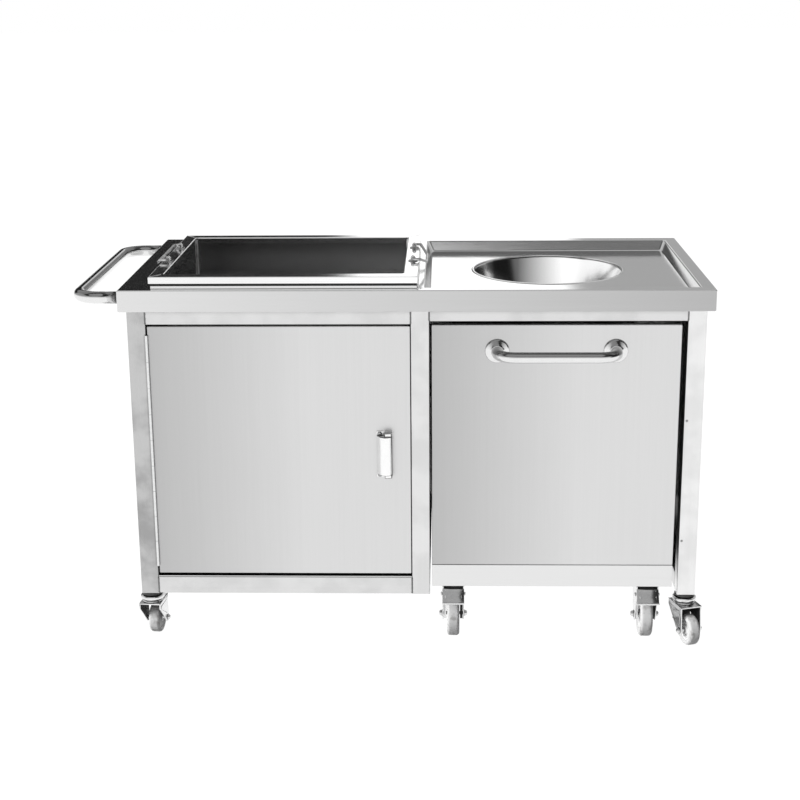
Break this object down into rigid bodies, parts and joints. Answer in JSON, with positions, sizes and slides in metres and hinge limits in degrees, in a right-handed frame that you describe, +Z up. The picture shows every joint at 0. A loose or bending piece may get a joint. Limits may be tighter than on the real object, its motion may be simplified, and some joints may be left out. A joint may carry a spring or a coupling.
{
  "type": "mobile canteen clearing cart",
  "caption": "Stainless steel cart with a lift-out tub, a sunk worktop with a round waste chute, a cupboard, a roll-out bin trolley, a push handle and swivel casters.",
  "frame": {"origin": "middle of the whole cart's plan, on the floor", "axes": "+Z up, +X to the right along the worktop, front and door towards -Y, push handle towards -X"},
  "size_m": [1.3068, 0.6562, 0.8013],
  "materials": {
    "brushed_sheet": "fine straight-line brushed stainless sheet",
    "frame_tube": "satin stainless square tube",
    "polished_tube": "polished stainless bar",
    "caster_steel": "bright zinc-plated pressings",
    "wheel_grey": "light grey non-marking rubber",
    "dark_plastic": "matt moulded plastic"
  },
  "bodies": {
    "frame": {"worktop": "brushed_sheet", "chute_collar": "brushed_sheet", "leg_front_left": "frame_tube", "leg_front_right": "frame_tube", "leg_back_left": "frame_tube", "leg_back_right": "frame_tube", "post_front": "frame_tube", "post_back": "frame_tube", "rail_top_front_left": "frame_tube", "rail_top_front_right": "frame_tube", "rail_top_back": "frame_tube", "rail_bottom_front": "frame_tube", "rail_bottom_back": "frame_tube", "rail_bottom_left": "frame_tube", "rail_bottom_right": "frame_tube", "rail_bottom_middle": "frame_tube", "side_panel_left": "brushed_sheet", "side_panel_right": "brushed_sheet", "back_panel": "brushed_sheet", "divider_panel": "brushed_sheet", "cupboard_floor": "brushed_sheet", "push_handle": "polished_tube", "hinge_leaf_frame": "caster_steel", "hinge_pin": "caster_steel", "door_catch": "dark_plastic", "caster_head_front_left": "caster_steel", "caster_head_front_right": "caster_steel", "caster_head_back_left": "caster_steel", "caster_head_back_right": "caster_steel"},
    "door": {"door_panel": "brushed_sheet", "door_handle": "polished_tube", "hinge_leaf_door": "caster_steel"},
    "tub": {"tub": "brushed_sheet", "bail_bracket_left": "polished_tube", "bail_bracket_right": "polished_tube"},
    "bail_left": {"bail_left": "polished_tube"},
    "bail_right": {"bail_right": "polished_tube"},
    "trolley": {"trolley_tray": "brushed_sheet", "trolley_front": "brushed_sheet", "trolley_handle": "polished_tube", "waste_bin": "dark_plastic", "trolley_fork_front_left": "caster_steel", "trolley_fork_front_right": "caster_steel", "trolley_fork_back_left": "caster_steel", "trolley_fork_back_right": "caster_steel"},
    "caster_front_left": {"caster_fork_front_left": "caster_steel"},
    "caster_wheel_front_left": {"caster_wheel_front_left": "wheel_grey"},
    "caster_front_right": {"caster_fork_front_right": "caster_steel"},
    "caster_wheel_front_right": {"caster_wheel_front_right": "wheel_grey"},
    "caster_back_left": {"caster_fork_back_left": "caster_steel"},
    "caster_wheel_back_left": {"caster_wheel_back_left": "wheel_grey"},
    "caster_back_right": {"caster_fork_back_right": "caster_steel"},
    "caster_wheel_back_right": {"caster_wheel_back_right": "wheel_grey"},
    "trolley_wheel_front_left": {"trolley_wheel_front_left": "wheel_grey"},
    "trolley_wheel_front_right": {"trolley_wheel_front_right": "wheel_grey"},
    "trolley_wheel_back_left": {"trolley_wheel_back_left": "wheel_grey"},
    "trolley_wheel_back_right": {"trolley_wheel_back_right": "wheel_grey"},
    "brake_pedal_front_left": {"brake_pedal_front_left": "caster_steel"},
    "brake_pedal_front_right": {"brake_pedal_front_right": "caster_steel"}
  },
  "joints": [
    {"name": "door_hinge", "type": "hinge", "parent": "frame", "child": "door", "pos_m": [-0.49664, -0.26038, 0.4205], "axis": [0, 0, -1], "range_deg": [0, 170]},
    {"name": "tub_lift", "type": "slide", "parent": "frame", "child": "tub", "axis": [0, 0, 1], "range_m": [0, 0.25]},
    {"name": "bail_left_hinge", "type": "hinge", "parent": "tub", "child": "bail_left", "pos_m": [-0.47489, -0.01238, 0.7958], "axis": [0, 1, 0], "range_deg": [0, 100]},
    {"name": "bail_right_hinge", "type": "hinge", "parent": "tub", "child": "bail_right", "pos_m": [0.04161, -0.01238, 0.7958], "axis": [0, -1, 0], "range_deg": [0, 100]},
    {"name": "trolley_slide", "type": "slide", "parent": "frame", "child": "trolley", "axis": [0, -1, 0], "range_m": [0, 0.6]},
    {"name": "caster_swivel_front_left", "type": "hinge", "parent": "frame", "child": "caster_front_left", "pos_m": [-0.51689, -0.23788, 0.0876], "axis": [0, 0, 1], "continuous": true},
    {"name": "caster_spin_front_left", "type": "hinge", "parent": "caster_front_left", "child": "caster_wheel_front_left", "pos_m": [-0.51436, -0.20899, 0.0325], "axis": [-0.9962, 0.0872, 0], "continuous": true},
    {"name": "caster_swivel_front_right", "type": "hinge", "parent": "frame", "child": "caster_front_right", "pos_m": [0.61511, -0.23788, 0.0876], "axis": [0, 0, 1], "range_deg": [-70, 190]},
    {"name": "caster_spin_front_right", "type": "hinge", "parent": "caster_front_right", "child": "caster_wheel_front_right", "pos_m": [0.62359, -0.26561, 0.0325], "axis": [0.9563, 0.2924, 0], "continuous": true},
    {"name": "caster_swivel_back_left", "type": "hinge", "parent": "frame", "child": "caster_back_left", "pos_m": [-0.51689, 0.29413, 0.0876], "axis": [0, 0, 1], "continuous": true},
    {"name": "caster_spin_back_left", "type": "hinge", "parent": "caster_back_left", "child": "caster_wheel_back_left", "pos_m": [-0.54589, 0.29413, 0.0325], "axis": [0, -1, 0], "continuous": true},
    {"name": "caster_swivel_back_right", "type": "hinge", "parent": "frame", "child": "caster_back_right", "pos_m": [0.61511, 0.29413, 0.0876], "axis": [0, 0, 1], "continuous": true},
    {"name": "caster_spin_back_right", "type": "hinge", "parent": "caster_back_right", "child": "caster_wheel_back_right", "pos_m": [0.58639, 0.29009, 0.0325], "axis": [0.1392, -0.9903, 0], "continuous": true},
    {"name": "trolley_spin_front_left", "type": "hinge", "parent": "trolley", "child": "trolley_wheel_front_left", "pos_m": [0.12611, -0.21788, 0.0475], "axis": [1, 0, 0], "continuous": true},
    {"name": "trolley_spin_front_right", "type": "hinge", "parent": "trolley", "child": "trolley_wheel_front_right", "pos_m": [0.53511, -0.21788, 0.0475], "axis": [1, 0, 0], "continuous": true},
    {"name": "trolley_spin_back_left", "type": "hinge", "parent": "trolley", "child": "trolley_wheel_back_left", "pos_m": [0.12611, 0.19812, 0.0475], "axis": [1, 0, 0], "continuous": true},
    {"name": "trolley_spin_back_right", "type": "hinge", "parent": "trolley", "child": "trolley_wheel_back_right", "pos_m": [0.53511, 0.19812, 0.0475], "axis": [1, 0, 0], "continuous": true},
    {"name": "brake_front_left", "type": "hinge", "parent": "trolley", "child": "brake_pedal_front_left", "pos_m": [0.12611, -0.24588, 0.1035], "axis": [1, 0, 0], "range_deg": [0, 18]},
    {"name": "brake_front_right", "type": "hinge", "parent": "trolley", "child": "brake_pedal_front_right", "pos_m": [0.53511, -0.24588, 0.1035], "axis": [1, 0, 0], "range_deg": [0, 18]}
  ]
}
